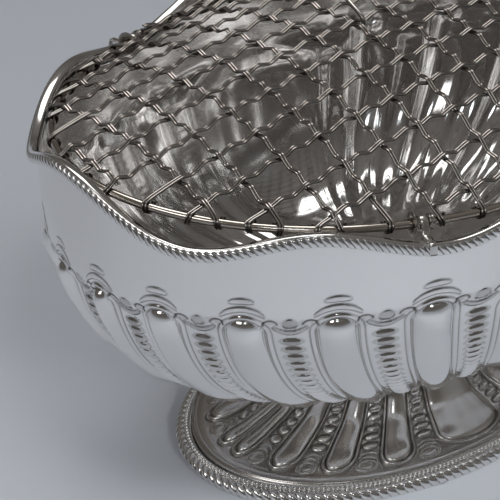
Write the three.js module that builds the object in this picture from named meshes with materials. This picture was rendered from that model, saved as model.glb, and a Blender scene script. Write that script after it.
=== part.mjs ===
import * as THREE from 'three';

// Oval silver jardiniere with a lobed body, a spreading lobed foot and a lift-off
// domed grille of woven wire. Millimetres, +Z up, +X along the oval's long axis,
// origin on the floor under the middle of the foot.

// Rim: an ellipse whose height waves in eight scallops.
const RIM_HALF_LENGTH = 160;
const RIM_HALF_WIDTH = 106;
const RIM_HEIGHT = 157.5;
const RIM_END_LIFT = 4;
const RIM_CREST_LIFT = 3.7;
const RIM_SCALLOP = 5.8;
const RIM_LEAN = 1.3;

// Body: an open bowl of similar ellipses, drawn in towards its floor.
const WALL = 1.2;
const SHOULDER_HEIGHT = 129.8;
const SHOULDER_INSET = 2.4;
const BOWL_BOTTOM_HEIGHT = 51.7;
const BOWL_BOTTOM_INSET = 84.8;
const BOWL_CURVE_IN = 0.753;
const BOWL_CURVE_DOWN = 1.088;
const LOBE_DEPTH = 3.2;
const LOBE_TOP_DROP = 7;

// Lobes round the body and the foot: two wide plain panels at the middle of the
// long sides, and regular lobes between them.
const WIDE_PANEL_ANGLE = 33;
const BODY_LOBES_PER_SIDE = 10;
const FOOT_LOBES_PER_SIDE = 7;

// Rim border: a moulding that caps the wall's edge and hangs over its outside.
const RIM_BORDER_TOP = 3;
const RIM_BORDER_SKIRT = 5.2;
const RIM_BORDER_OUT = 3.3;

// Foot.
const FOOT_HALF_LENGTH = 103.5;
const FOOT_HALF_WIDTH = 67.5;
const FOOT_EDGE_HEIGHT = 5.5;
const FOOT_BORDER_WIDTH = 7;
const FOOT_BORDER_HEIGHT = 7;
const FOOT_NECK_INSET = 57;
const FOOT_WALL = 1.1;
const FOOT_LOBE_DEPTH = 2;

// Grille: an oval ring of wire that rides with the rim's ends, and a domed net.
const RING_INSET = 6.8;
const RING_HEIGHT = 157.1;
const RING_END_LIFT = 5.5;
const RING_WIRE_RADIUS = 1.6;
const NET_RISE = 27;
const NET_ABOVE_RING = 3.4;
const NET_LIFT_BAND = 12;
const CROSS_WIRES = 18;
const LONG_WIRES = 13;
const STRAND_WIDTH = 2.2;
const STRAND_THICKNESS = 1;
const WEAVE_HEIGHT = 0.95;
const HOOK_CLEARANCE = 0.75;
const SHALLOW_MEETING = 0.36;

// Clips that hold the grille to the rim, each between two collars on the ring.
const CLIP_WIRE = 4;
const CLIP_WIDTH = 3.4;
const CLIP_THICKNESS = 1;
const CLIP_DROP = 4;
const RING_COLLAR_WIDTH = 2.2;
const RING_COLLAR_THICKNESS = 1;

// Bail handle that is hooked on the middle long wire.
const HANDLE_WIRE = 2;
const HANDLE_WIRE_RADIUS = 0.95;
const HANDLE_EYE_RADIUS = 3.1;
const HANDLE_RISE = 34;
const HANDLE_LEAN = 20;

// Running gap between pieces that touch.
const GAP = 0.3;

const silver = () => new THREE.MeshStandardMaterial({ color: 0xdcdad6, metalness: 1, roughness: 0.14 });
const oxidised = () => new THREE.MeshStandardMaterial({ color: 0xa8a49d, metalness: 1, roughness: 0.28 });
const rad = THREE.MathUtils.degToRad;
const lerp = THREE.MathUtils.lerp;
const smooth = (x) => THREE.MathUtils.smoothstep(x, 0, 1);

const jardiniere = new THREE.Group();
const grille = new THREE.Group();
jardiniere.add(grille);

function volume(points, faces) {
  let sum = 0;
  for (const [i, j, k] of faces) {
    sum += points[i].dot(points[j].clone().cross(points[k])) / 6;
  }
  return sum;
}

function addSolid(parent, name, points, faces, material) {
  const out = volume(points, faces) > 0;
  const geometry = new THREE.BufferGeometry();
  geometry.setAttribute('position', new THREE.Float32BufferAttribute(points.flatMap((p) => p.toArray()), 3));
  geometry.setIndex(faces.flatMap(([i, j, k]) => (out ? [i, j, k] : [i, k, j])));
  geometry.computeVertexNormals();
  const mesh = new THREE.Mesh(geometry, material);
  mesh.name = name;
  parent.add(mesh);
}

// Skin over a run of rings with equal counts. The run's two ends are closed by a fan
// to their middle point, or the last ring joins the first when looped is true.
function loft(rings, looped) {
  const count = rings[0].length;
  const points = rings.flat();
  const faces = [];
  const bands = looped ? rings.length : rings.length - 1;
  for (let r = 0; r < bands; r += 1) {
    const low = r * count;
    const high = ((r + 1) % rings.length) * count;
    for (let i = 0; i < count; i += 1) {
      const n = (i + 1) % count;
      faces.push([low + i, low + n, high + n], [low + i, high + n, high + i]);
    }
  }
  if (!looped) {
    for (const [ring, start, flip] of [[rings[0], 0, true], [rings[rings.length - 1], points.length - count, false]]) {
      const centre = ring.reduce((sum, p) => sum.add(p), new THREE.Vector3()).divideScalar(count);
      const tip = points.length;
      points.push(centre);
      for (let i = 0; i < count; i += 1) {
        const n = (i + 1) % count;
        faces.push(flip ? [start + n, start + i, tip] : [start + i, start + n, tip]);
      }
    }
  }
  return [points, faces];
}

// Ellipse helpers: the point at an angle, and its outward direction in plan.
function onEllipse(a, b, angle, z) {
  return new THREE.Vector3(a * Math.cos(angle), b * Math.sin(angle), z);
}

function outward(a, b, angle) {
  return new THREE.Vector3(Math.cos(angle) / a, Math.sin(angle) / b, 0).normalize();
}

function rimHeight(angle) {
  return RIM_HEIGHT + RIM_END_LIFT * Math.cos(2 * angle) + RIM_CREST_LIFT * Math.cos(4 * angle)
    + RIM_SCALLOP * Math.cos(8 * angle) + RIM_LEAN * (Math.cos(6 * angle) - Math.cos(10 * angle));
}

// Angles round an oval at which its faces are split, with each one's place across its
// lobe from 0 to 1. A side runs from one wide panel's edge to the other's.
function lobeGrid(lobesPerSide, splits, wideSplits) {
  const grid = [];
  const wide = rad(WIDE_PANEL_ANGLE);
  const regular = (Math.PI - wide) / lobesPerSide;
  for (const side of [-1, 1]) {
    const start = side * Math.PI / 2 + wide / 2;
    for (let lobe = 0; lobe < lobesPerSide; lobe += 1) {
      for (let k = 0; k < splits; k += 1) {
        grid.push({ angle: start + (lobe + k / splits) * regular, across: k / splits });
      }
    }
    for (let k = 0; k < wideSplits; k += 1) {
      grid.push({ angle: start + lobesPerSide * regular + (k / wideSplits) * wide, across: k / wideSplits });
    }
  }
  return grid;
}

const lobeSwell = (across) => Math.sin(Math.PI * across) ** 0.6 - 0.5;

// Bowl
const bodyGrid = lobeGrid(BODY_LOBES_PER_SIDE, 4, 8);
const bottomShare = BOWL_BOTTOM_INSET / RIM_HALF_LENGTH;
const shoulderShare = SHOULDER_INSET / RIM_HALF_LENGTH;

function bowlPoint(angle, turn) {
  const share = bottomShare - (bottomShare - shoulderShare) * Math.max(Math.cos(turn), 0) ** BOWL_CURVE_IN;
  const drop = (SHOULDER_HEIGHT - BOWL_BOTTOM_HEIGHT) * Math.sin(turn) ** BOWL_CURVE_DOWN;
  return onEllipse(RIM_HALF_LENGTH * (1 - share), RIM_HALF_WIDTH * (1 - share), angle, SHOULDER_HEIGHT - drop);
}

function bowlSurface(angle, turn, offset) {
  const step = 0.01;
  const low = Math.max(turn - step, 0);
  const high = Math.min(turn + step, Math.PI / 2);
  const round = bowlPoint(angle + step, turn).sub(bowlPoint(angle - step, turn));
  const down = bowlPoint(angle, high).sub(bowlPoint(angle, low));
  const normal = down.cross(round).normalize();
  return bowlPoint(angle, turn).addScaledVector(normal, offset);
}

function lobeStrength(turn) {
  const height = bowlPoint(0, turn).z;
  const top = smooth((SHOULDER_HEIGHT - height) / LOBE_TOP_DROP);
  return top * smooth((Math.PI / 2 - turn) / 0.5);
}

function bandRing(share, inside) {
  return bodyGrid.map(({ angle }) => {
    const top = rimHeight(angle) - RIM_BORDER_TOP - GAP;
    const inset = SHOULDER_INSET * (1 - share);
    const scale = 1 - inset / RIM_HALF_LENGTH;
    const point = onEllipse(RIM_HALF_LENGTH * scale, RIM_HALF_WIDTH * scale, angle, lerp(SHOULDER_HEIGHT, top, share));
    return point.addScaledVector(outward(RIM_HALF_LENGTH, RIM_HALF_WIDTH, angle), inside ? -WALL : 0);
  });
}

const bowlTurns = [13, 29, 46, 62, 76, 86, 90].map(rad);
const bowlRing = (turn, inside) => bodyGrid.map(({ angle, across }) => {
  const swell = LOBE_DEPTH * lobeSwell(across) * lobeStrength(turn);
  return bowlSurface(angle, turn, swell - (inside ? WALL : 0));
});
const outerRings = [bandRing(1, false), bandRing(0.5, false), bandRing(0, false), ...bowlTurns.map((t) => bowlRing(t, false))];
const innerRings = [bandRing(1, true), bandRing(0.5, true), bandRing(0, true), ...bowlTurns.map((t) => bowlRing(t, true))];
addSolid(jardiniere, 'bowl_body', ...loft([...innerRings.reverse(), ...outerRings], false), silver());

// Rim border: the section's points are offsets out from the rim line and down from its crest.
const rimBorderSection = [
  [-WALL - GAP, -RIM_BORDER_TOP],
  [-WALL - GAP, -1],
  [-0.4, 0],
  [0.45 * RIM_BORDER_OUT, -0.5],
  [RIM_BORDER_OUT, -0.5 * RIM_BORDER_SKIRT],
  [0.85 * RIM_BORDER_OUT, -RIM_BORDER_SKIRT],
  [GAP, -RIM_BORDER_SKIRT],
  [GAP, -RIM_BORDER_TOP],
];
const rimSections = bodyGrid.map(({ angle }) => rimBorderSection.map(([out, up]) => (
  onEllipse(RIM_HALF_LENGTH, RIM_HALF_WIDTH, angle, rimHeight(angle) + up)
    .addScaledVector(outward(RIM_HALF_LENGTH, RIM_HALF_WIDTH, angle), out)
)));
addSolid(jardiniere, 'rim_border', ...loft(rimSections, true), silver());

// Foot: rows from the outer edge up to the neck, which meets the bowl's flat bottom.
const footGrid = lobeGrid(FOOT_LOBES_PER_SIDE, 4, 6);
const footEdgeInset = FOOT_BORDER_WIDTH + 1.4 * GAP;
const footTop = BOWL_BOTTOM_HEIGHT - GAP;
const footProfile = [[0, 0], [0.12, 0.055], [0.42, 0.125], [0.72, 0.25], [0.89, 0.42], [0.98, 0.7], [1, 1]];

function footRing([inward, upward], drop) {
  const inset = lerp(footEdgeInset, FOOT_NECK_INSET, inward);
  const scale = 1 - inset / FOOT_HALF_LENGTH;
  const height = lerp(FOOT_EDGE_HEIGHT, footTop, upward);
  const strength = Math.sin(Math.PI * Math.min(inward / 0.92, 1)) ** 0.5;
  return footGrid.map(({ angle, across }) => {
    const swell = FOOT_LOBE_DEPTH * lobeSwell(across) * strength;
    return onEllipse(FOOT_HALF_LENGTH * scale, FOOT_HALF_WIDTH * scale, angle, height + swell - drop)
      .addScaledVector(outward(FOOT_HALF_LENGTH, FOOT_HALF_WIDTH, angle), -drop * inward);
  });
}

const footOuter = footProfile.map((row) => footRing(row, 0));
const footInner = footProfile.map((row) => footRing(row, FOOT_WALL));
addSolid(jardiniere, 'foot_dome', ...loft([...footInner.reverse(), ...footOuter], false), silver());

// Foot border: a flat-bottomed moulding round the foot's edge, which rests on the floor.
const footBorderSection = [
  [-FOOT_BORDER_WIDTH, 0],
  [-FOOT_BORDER_WIDTH, 0.75 * FOOT_BORDER_HEIGHT],
  [-0.75 * FOOT_BORDER_WIDTH, FOOT_BORDER_HEIGHT],
  [-0.45 * FOOT_BORDER_WIDTH, 0.92 * FOOT_BORDER_HEIGHT],
  [-0.08 * FOOT_BORDER_WIDTH, 0.6 * FOOT_BORDER_HEIGHT],
  [0, 0.2 * FOOT_BORDER_HEIGHT],
  [-0.12 * FOOT_BORDER_WIDTH, 0],
];
const footSections = footGrid.map(({ angle }) => footBorderSection.map(([out, up]) => {
  const scale = 1 + out / FOOT_HALF_LENGTH;
  return onEllipse(FOOT_HALF_LENGTH * scale, FOOT_HALF_WIDTH * scale, angle, up);
}));
addSolid(jardiniere, 'foot_border', ...loft(footSections, true), silver());

// Grille ring
const ringHalfLength = RIM_HALF_LENGTH - RING_INSET;
const ringHalfWidth = RIM_HALF_WIDTH - RING_INSET;
const ringPoint = (angle) => onEllipse(ringHalfLength, ringHalfWidth, angle, RING_HEIGHT + RING_END_LIFT * Math.cos(2 * angle));
const ringOut = (angle) => outward(ringHalfLength, ringHalfWidth, angle);
const UP = new THREE.Vector3(0, 0, 1);
const RING_STEPS = 80;
const ringSections = Array.from({ length: RING_STEPS }, (_, k) => {
  const angle = (k / RING_STEPS) * 2 * Math.PI;
  return Array.from({ length: 6 }, (__, i) => {
    const turn = (i / 6) * 2 * Math.PI;
    return ringPoint(angle).addScaledVector(ringOut(angle), RING_WIRE_RADIUS * Math.cos(turn))
      .addScaledVector(UP, RING_WIRE_RADIUS * Math.sin(turn));
  });
});
addSolid(grille, 'grille_ring', ...loft(ringSections, true), silver());

// The wires are spread evenly over the ring, which sets both pitches of the net.
const crossPitch = (2 * ringHalfLength) / (CROSS_WIRES - 0.5);
const longPitch = (2 * ringHalfWidth) / (LONG_WIRES + 0.5);

// The net's middle surface: it follows the ring's height, lies on top of the ring at
// its edge and swells to a dome over the bowl.
function netHeight(x, y) {
  const u = x / ringHalfLength;
  const v = y / ringHalfWidth;
  const square = u * u + v * v;
  const reach = Math.sqrt(Math.max(square, 1e-9));
  const inside = (1 - reach) / Math.hypot(u / ringHalfLength, v / ringHalfWidth) * reach;
  const lift = NET_ABOVE_RING * (1 - 0.6 * smooth(inside / NET_LIFT_BAND));
  return RING_HEIGHT + RING_END_LIFT * (u * u - v * v) + lift + NET_RISE * (1 - square);
}

// One woven wire: a flat strand along x or y, over one crossing and under the next,
// each end bent over the ring, round its outside and under it.
function strandSolid(name, alongX, place, crossings, parity) {
  const half = alongX ? ringHalfWidth : ringHalfLength;
  const run = alongX ? ringHalfLength : ringHalfWidth;
  const end = run * Math.sqrt(1 - (place / half) ** 2);
  const at = (s, z) => (alongX ? new THREE.Vector3(s, place, z) : new THREE.Vector3(place, s, z));
  const surface = (s) => (alongX ? netHeight(s, place) : netHeight(place, s));
  const side = alongX ? new THREE.Vector3(0, 1, 0) : new THREE.Vector3(1, 0, 0);
  const sideAt = (s) => {
    const step = 0.5;
    const slope = alongX
      ? netHeight(s, place + step) - netHeight(s, place - step)
      : netHeight(place + step, s) - netHeight(place - step, s);
    return side.clone().addScaledVector(UP, slope / (2 * step)).normalize();
  };
  const angleOf = (s) => (alongX
    ? Math.atan2(place / ringHalfWidth, s / ringHalfLength)
    : Math.atan2(s / ringHalfWidth, place / ringHalfLength));
  const pitch = alongX ? crossPitch : longPitch;
  const inner = crossings.filter((s) => Math.abs(s.at) < end - 0.05 * pitch);
  const nodes = inner.map((s) => {
    const over = (s.index + parity) % 2 === 0 ? 1 : -1;
    return { point: at(s.at, surface(s.at) + over * WEAVE_HEIGHT), side: sideAt(s.at), over };
  });
  const direction = at(1, 0).sub(at(0, 0));
  const meeting = Math.abs(ringOut(angleOf(end)).dot(direction));
  const hook = (sign) => {
    const last = inner[sign > 0 ? inner.length - 1 : 0];
    const over = nodes[sign > 0 ? nodes.length - 1 : 0].over;
    if (meeting < SHALLOW_MEETING) {
      const stop = last.at + sign * 0.7 * STRAND_WIDTH;
      return [{ point: at(stop, surface(stop) + over * WEAVE_HEIGHT), side: sideAt(last.at) }];
    }
    const angle = angleOf(sign * end);
    const centre = ringPoint(angle);
    const out = ringOut(angle);
    const tangent = new THREE.Vector3(-out.y, out.x, 0);
    const along = tangent.dot(side) < 0 ? tangent.negate() : tangent;
    const near = Math.abs(sign * end - last.at) < 0.42 * pitch;
    const top = near ? NET_ABOVE_RING + over * WEAVE_HEIGHT : NET_ABOVE_RING - WEAVE_HEIGHT;
    const reach = (RING_WIRE_RADIUS + HOOK_CLEARANCE + STRAND_THICKNESS / 2) / Math.cos(Math.PI / 6);
    const bend = (turn, high) => centre.clone().addScaledVector(out, reach * Math.cos(rad(turn)))
      .addScaledVector(UP, high === undefined ? reach * Math.sin(rad(turn)) : high);
    return [
      { point: centre.clone().addScaledVector(UP, top), side: side.clone().add(along).normalize() },
      { point: bend(30, Math.max(reach * 0.5, top - 1.6)), side: along },
      { point: bend(-30), side: along },
      { point: bend(-88), side: along },
    ];
  };
  const path = [...hook(-1).reverse(), ...nodes, ...hook(1)];
  const rings = path.map(({ point, side: across }, k) => {
    const before = path[Math.max(k - 1, 0)].point;
    const after = path[Math.min(k + 1, path.length - 1)].point;
    const ahead = point.clone().sub(before).normalize().add(after.clone().sub(point).normalize()).normalize();
    const rise = ahead.clone().cross(across).normalize();
    const wide = rise.clone().cross(ahead).normalize();
    return [[1, 1], [-1, 1], [-1, -1], [1, -1]].map(([w, t]) => point.clone()
      .addScaledVector(wide, w * STRAND_WIDTH / 2).addScaledVector(rise, t * STRAND_THICKNESS / 2));
  });
  addSolid(grille, name, ...loft(rings, false), oxidised());
}

const centred = (count, pitch) => Array.from({ length: count }, (_, k) => ({ index: k, at: (k - (count - 1) / 2) * pitch }));
const crossPlaces = centred(CROSS_WIRES, crossPitch);
const longPlaces = centred(LONG_WIRES, longPitch);
for (const wire of crossPlaces) {
  strandSolid(`cross_wire_${wire.index + 1}`, false, wire.at, longPlaces, wire.index);
}
for (const wire of longPlaces) {
  strandSolid(`long_wire_${wire.index + 1}`, true, wire.at, crossPlaces, wire.index + 1);
}

// Clips and ring collars, beside a cross wire's end, on the side away from the middle.
function ringSpot(signX, signY) {
  const beside = STRAND_WIDTH / 2 + RING_COLLAR_WIDTH + 2 * GAP + CLIP_WIDTH / 2;
  const angle = Math.acos(((CLIP_WIRE - 0.5) * crossPitch + 1.1 * beside) / ringHalfLength);
  return Math.atan2(signY * Math.sin(angle), signX * Math.cos(angle));
}

function sleeveRing(inner, outer, width, frame, steps) {
  const rings = [[inner, -1], [outer, -1], [outer, 1], [inner, 1]];
  return Array.from({ length: steps }, (_, k) => {
    const turn = (k / steps) * 2 * Math.PI;
    return rings.map(([radius, sign]) => frame(radius * Math.cos(turn), radius * Math.sin(turn), sign * width / 2));
  });
}

const SLEEVE_STEPS = 10;
const sleeveInner = (RING_WIRE_RADIUS + 1.3 * GAP) / Math.cos(Math.PI / SLEEVE_STEPS);
const spots = [[-1, -1], [1, -1], [1, 1], [-1, 1]];
spots.forEach(([signX, signY], spot) => {
  const angle = ringSpot(signX, signY);
  const centre = ringPoint(angle);
  const out = ringOut(angle);
  const along = ringPoint(angle + 0.01).sub(ringPoint(angle - 0.01)).normalize();
  const above = out.clone().cross(along);
  const frame = (o, u, t) => centre.clone().addScaledVector(out, o).addScaledVector(above, u).addScaledVector(along, t);
  const shape = new THREE.Shape();
  const outerRadius = sleeveInner + CLIP_THICKNESS;
  const rimOut = RING_INSET;
  const reach = rimOut + RIM_BORDER_OUT + 2 * GAP;
  const rimAngle = Math.atan2((centre.y + out.y * rimOut) / RIM_HALF_WIDTH, (centre.x + out.x * rimOut) / RIM_HALF_LENGTH);
  const half = CLIP_WIDTH / 2 / RIM_HALF_LENGTH;
  const crest = Math.max(rimHeight(rimAngle - half), rimHeight(rimAngle + half)) - centre.z + GAP
    + Math.abs(along.z) * CLIP_WIDTH / 2;
  const armLow = Math.max(crest, -outerRadius);
  shape.moveTo(outerRadius * Math.cos(0.5), armLow + CLIP_THICKNESS < outerRadius * Math.sin(0.5)
    ? outerRadius * Math.sin(0.5) : armLow + CLIP_THICKNESS);
  shape.lineTo(rimOut - WALL - 2 * GAP, crest + CLIP_THICKNESS);
  shape.lineTo(reach, crest + CLIP_THICKNESS);
  shape.lineTo(reach + CLIP_THICKNESS, crest - 0.2);
  shape.lineTo(reach + CLIP_THICKNESS + 0.4, crest - CLIP_DROP);
  shape.lineTo(reach + 0.4, crest - CLIP_DROP);
  shape.lineTo(reach, crest);
  shape.lineTo(rimOut - WALL - 2 * GAP - 0.6, crest);
  for (let k = 0; k < 12; k += 1) {
    const turn = -0.75 - (k / 11) * (2 * Math.PI - 1.25);
    shape.lineTo(outerRadius * Math.cos(turn), outerRadius * Math.sin(turn));
  }
  const hole = new THREE.Path();
  for (let k = 0; k < SLEEVE_STEPS; k += 1) {
    const turn = (k / SLEEVE_STEPS) * 2 * Math.PI;
    if (k === 0) {
      hole.moveTo(sleeveInner * Math.cos(turn), sleeveInner * Math.sin(turn));
    } else {
      hole.lineTo(sleeveInner * Math.cos(turn), sleeveInner * Math.sin(turn));
    }
  }
  shape.holes.push(hole);
  const flat = new THREE.ExtrudeGeometry(shape, { depth: CLIP_WIDTH, bevelEnabled: false, steps: 1, curveSegments: 1 });
  flat.translate(0, 0, -CLIP_WIDTH / 2);
  const position = flat.getAttribute('position');
  const points = [];
  const seen = new Map();
  const corner = [];
  for (let k = 0; k < position.count; k += 1) {
    const key = [position.getX(k), position.getY(k), position.getZ(k)].map((v) => v.toFixed(4)).join(' ');
    if (!seen.has(key)) {
      seen.set(key, points.length);
      points.push(frame(position.getX(k), position.getY(k), position.getZ(k)));
    }
    corner.push(seen.get(key));
  }
  const faces = [];
  for (let k = 0; k < corner.length; k += 3) {
    faces.push([corner[k], corner[k + 1], corner[k + 2]]);
  }
  addSolid(grille, `rim_clip_${spot + 1}`, points, faces, silver());
  for (const sign of [-1, 1]) {
    const shift = sign * (CLIP_WIDTH / 2 + GAP + RING_COLLAR_WIDTH / 2);
    const collarFrame = (o, u, t) => frame(o, u, t + shift);
    const name = `ring_collar_${2 * spot + (sign < 0 ? 1 : 2)}`;
    const rings = sleeveRing(sleeveInner, sleeveInner + RING_COLLAR_THICKNESS, RING_COLLAR_WIDTH, collarFrame, SLEEVE_STEPS);
    addSolid(grille, name, ...loft(rings, true), oxidised());
  }
});

// Bail handle: one wire with an open eye round the middle long wire at each foot.
const handleHalf = (HANDLE_WIRE - 0.5) * crossPitch - STRAND_WIDTH / 2 - HANDLE_WIRE_RADIUS - 3 * GAP;
const handleAxis = netHeight(handleHalf, 0);
const lean = rad(HANDLE_LEAN);
const rise = new THREE.Vector3(0, Math.cos(lean), Math.sin(lean));
const clear = new THREE.Vector3(0, -Math.sin(lean), Math.cos(lean));
const handlePoint = (x, v, w) => new THREE.Vector3(x, 0, handleAxis).addScaledVector(rise, v).addScaledVector(clear, w);
const EYE_STEPS = 8;
const eye = Array.from({ length: EYE_STEPS }, (_, k) => {
  const turn = rad(350 - (k / EYE_STEPS) * 260);
  return [HANDLE_EYE_RADIUS * Math.cos(turn), HANDLE_EYE_RADIUS * Math.sin(turn)];
});
const ARCH_STEPS = 14;
const arch = Array.from({ length: ARCH_STEPS + 1 }, (_, k) => {
  const turn = (k / ARCH_STEPS) * Math.PI;
  return handlePoint(-handleHalf * Math.cos(turn), (HANDLE_RISE - 2) * Math.sin(turn) ** 0.8 + 2, HANDLE_EYE_RADIUS);
});
const handlePath = [
  ...eye.map(([v, w]) => handlePoint(-handleHalf, v, w)),
  ...arch,
  ...eye.reverse().map(([v, w]) => handlePoint(handleHalf, v, w)),
];
let handleSide = new THREE.Vector3(1, 0, 0);
const handleRings = handlePath.map((point, k) => {
  const before = handlePath[Math.max(k - 1, 0)];
  const after = handlePath[Math.min(k + 1, handlePath.length - 1)];
  const ahead = after.clone().sub(before).normalize();
  handleSide = handleSide.clone().addScaledVector(ahead, -handleSide.dot(ahead)).normalize();
  const other = ahead.clone().cross(handleSide);
  return Array.from({ length: 6 }, (_, i) => point.clone()
    .addScaledVector(handleSide, HANDLE_WIRE_RADIUS * Math.cos(i * Math.PI / 3))
    .addScaledVector(other, HANDLE_WIRE_RADIUS * Math.sin(i * Math.PI / 3)));
});
addSolid(grille, 'bail_handle', ...loft(handleRings, false), silver());

export default jardiniere;
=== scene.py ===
import math

import bpy
import numpy as np
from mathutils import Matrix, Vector


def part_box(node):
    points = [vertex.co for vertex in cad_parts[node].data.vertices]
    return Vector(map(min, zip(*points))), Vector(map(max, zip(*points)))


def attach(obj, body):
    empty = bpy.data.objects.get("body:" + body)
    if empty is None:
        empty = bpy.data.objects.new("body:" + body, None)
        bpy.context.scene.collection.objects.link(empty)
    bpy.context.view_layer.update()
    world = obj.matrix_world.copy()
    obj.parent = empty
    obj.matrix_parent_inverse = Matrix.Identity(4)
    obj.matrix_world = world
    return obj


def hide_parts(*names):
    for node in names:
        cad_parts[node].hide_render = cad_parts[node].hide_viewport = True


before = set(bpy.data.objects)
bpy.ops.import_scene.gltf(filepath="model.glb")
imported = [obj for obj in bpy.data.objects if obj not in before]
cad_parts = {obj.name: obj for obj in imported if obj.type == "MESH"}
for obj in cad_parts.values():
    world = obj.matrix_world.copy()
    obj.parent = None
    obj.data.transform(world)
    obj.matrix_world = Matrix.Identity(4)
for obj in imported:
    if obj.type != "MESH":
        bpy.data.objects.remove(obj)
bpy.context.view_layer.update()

# An oval silver jardiniere: lobed bowl and foot with raised ornament, gadroon
# borders, and a domed grille of crimped wire pairs. Lengths are millimetres in
# this script's functions and become metres when a mesh is made. The camera, the
# floor and the lights are placed in metres.
MM = 0.001


def half_oval(node):
    """Half the length and half the width of a node's solid, which lies round the middle."""
    _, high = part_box(node)
    return (np.array(high) / MM)[:2]


# Sizes shared with the solids
RIM_A, RIM_B = half_oval("bowl_body")
FOOT_A, FOOT_B = half_oval("foot_border")
WALL = 1.2
RIM_HEIGHT = 157.5
RIM_END_RISE = 4
RIM_QUARTER_WAVE = 3.7
RIM_SCALLOP = 5.8
RIM_SCALLOP_LEAN = 1.3
SHOULDER_HEIGHT = 129.8
SHOULDER_INSET = 2.4
BALL_HEIGHT = 119
BALL_DROP = SHOULDER_HEIGHT - BALL_HEIGHT
BOTTOM_HEIGHT = 51.7
BOTTOM_INSET = 84.8
CURVE_IN = 0.753
CURVE_DOWN = 1.088
FOOT_WALL = 1.1
FOOT_EDGE_HEIGHT = 5.5
FOOT_EDGE_INSET = 7.42
FOOT_NECK_INSET = 57
# From the foot's edge to its neck: share of the way in, share of the way up
FOOT_PROFILE = [[0, 0], [0.12, 0.055], [0.42, 0.125], [0.72, 0.25], [0.89, 0.42], [0.98, 0.7], [1, 1]]
RING_INSET = 6.8
RING_HEIGHT = 157.1
RING_LIFT = 5.5
RING_WIRE = 1.6
NET_RISE = 27
NET_ABOVE_RING = 3.4
NET_LIFT_BAND = 12
CROSS_WIRES = 18
LONG_WIRES = 13
PAIR_WIDTH = 2.2
WEAVE = 0.95
CLIP_WIRE = 4
CLIP_WIDTH = 3.4
CLIP_DROP = 4
COLLAR_WIDTH = 2.2
COLLAR_THICKNESS = 1
HANDLE_WIRE = 2
HANDLE_RADIUS = 0.95
HANDLE_EYE = 3.1
HANDLE_RISE = 34
HANDLE_LEAN = math.radians(20)
GAP = 0.3

# Lobe edges in degrees from the oval's end, the same in each quarter. Past the last
# one comes the wide panel at the middle of the long side.
BODY_EDGES = [0, 13, 28, 43.5, 58.5, 73.5]
FOOT_EDGES = [0, 13, 33.5, 53.5, 73.5]

UP = np.array([0, 0, 1.0])


# Mesh helpers

def mesh_object(name, points, faces, painted_shade_and_dullness=None):
    """A smooth-shaded object from points in millimetres and an array of quads.

    The last argument is each point's share, 0 to 1, of painted shade and of extra roughness, which the
    silver reads."""
    points = np.asarray(points, dtype=np.float64).reshape(-1, 3)
    faces = np.asarray(faces, dtype=np.int32)
    mesh = bpy.data.meshes.new(name)
    mesh.vertices.add(len(points))
    mesh.vertices.foreach_set("co", (points * MM).ravel())
    sides = faces.shape[1]
    mesh.loops.add(faces.size)
    mesh.loops.foreach_set("vertex_index", faces.ravel())
    mesh.polygons.add(len(faces))
    mesh.polygons.foreach_set("loop_start", np.arange(0, faces.size, sides, dtype=np.int32))
    mesh.polygons.foreach_set("use_smooth", np.ones(len(faces), dtype=bool))
    mesh.update(calc_edges=True)
    mesh.validate()
    if painted_shade_and_dullness is not None:
        # Painted shade: this attribute darkens the silver's colour, and it also raises the roughness.
        layer = mesh.attributes.new("painted_shade_and_dullness", "FLOAT", "POINT")
        layer.data.foreach_set("value", np.asarray(painted_shade_and_dullness, dtype=np.float32).ravel())
    obj = bpy.data.objects.new(name, mesh)
    bpy.context.scene.collection.objects.link(obj)
    return obj


def grid_faces(rows, columns, loop_rows, loop_columns):
    r = np.arange(rows if loop_rows else rows - 1)
    c = np.arange(columns if loop_columns else columns - 1)
    r, c = np.meshgrid(r, c, indexing="ij")
    r2, c2 = (r + 1) % rows, (c + 1) % columns
    corners = [r * columns + c, r * columns + c2, r2 * columns + c2, r2 * columns + c]
    return np.stack(corners, axis=-1).reshape(-1, 4)


def outward_faces(points, faces):
    """Flips the faces if they enclose a negative volume."""
    p = np.asarray(points).reshape(-1, 3)
    a, b, c, d = (p[faces[:, k]] for k in range(4))
    volume = (np.einsum("ij,ij->i", a, np.cross(b, c)).sum()
              + np.einsum("ij,ij->i", a, np.cross(c, d)).sum())
    return faces if volume > 0 else faces[:, ::-1]


def skin(name, grid, loop_rows, painted_shade_and_dullness):
    """An object over a grid of points (rows, columns, 3) whose columns close on themselves."""
    faces = outward_faces(grid, grid_faces(grid.shape[0], grid.shape[1], loop_rows, True))
    return mesh_object(name, grid, faces, painted_shade_and_dullness)


def swept(name, sections, painted_shade_and_dullness=None, closed=True):
    """Skin over sections (n, m, 3), each a closed outline; an open sweep gets pointed ends."""
    if not closed:
        first, last = sections[0].mean(axis=0), sections[-1].mean(axis=0)
        sections = np.concatenate([(first + (sections[0] - first) * 0.01)[None], sections,
                                   (last + (sections[-1] - last) * 0.01)[None]])
    return skin(name, sections, closed, painted_shade_and_dullness)


def distance_along(path):
    """Length from a path's first point to each of its points."""
    return np.concatenate([[0], np.cumsum(np.linalg.norm(np.diff(path, axis=0), axis=1))])


def frames_along(path):
    """Directions along and across a path, carried without twist."""
    ahead = np.gradient(path, axis=0)
    ahead /= np.linalg.norm(ahead, axis=1, keepdims=True)
    side = np.cross(ahead[0], UP)
    if np.linalg.norm(side) < 0.1:
        side = np.cross(ahead[0], [0, 1.0, 0])
    sides = []
    for direction in ahead:
        side = side - direction * side.dot(direction)
        side = side / np.linalg.norm(side)
        sides.append(side)
    sides = np.array(sides)
    return ahead, sides, np.cross(ahead, sides)


# The rings that round off a wire's end: how far past the end, and how wide, in radii
CAP_RINGS = ((0.5, 0.02), (0.4, 0.55))


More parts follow.
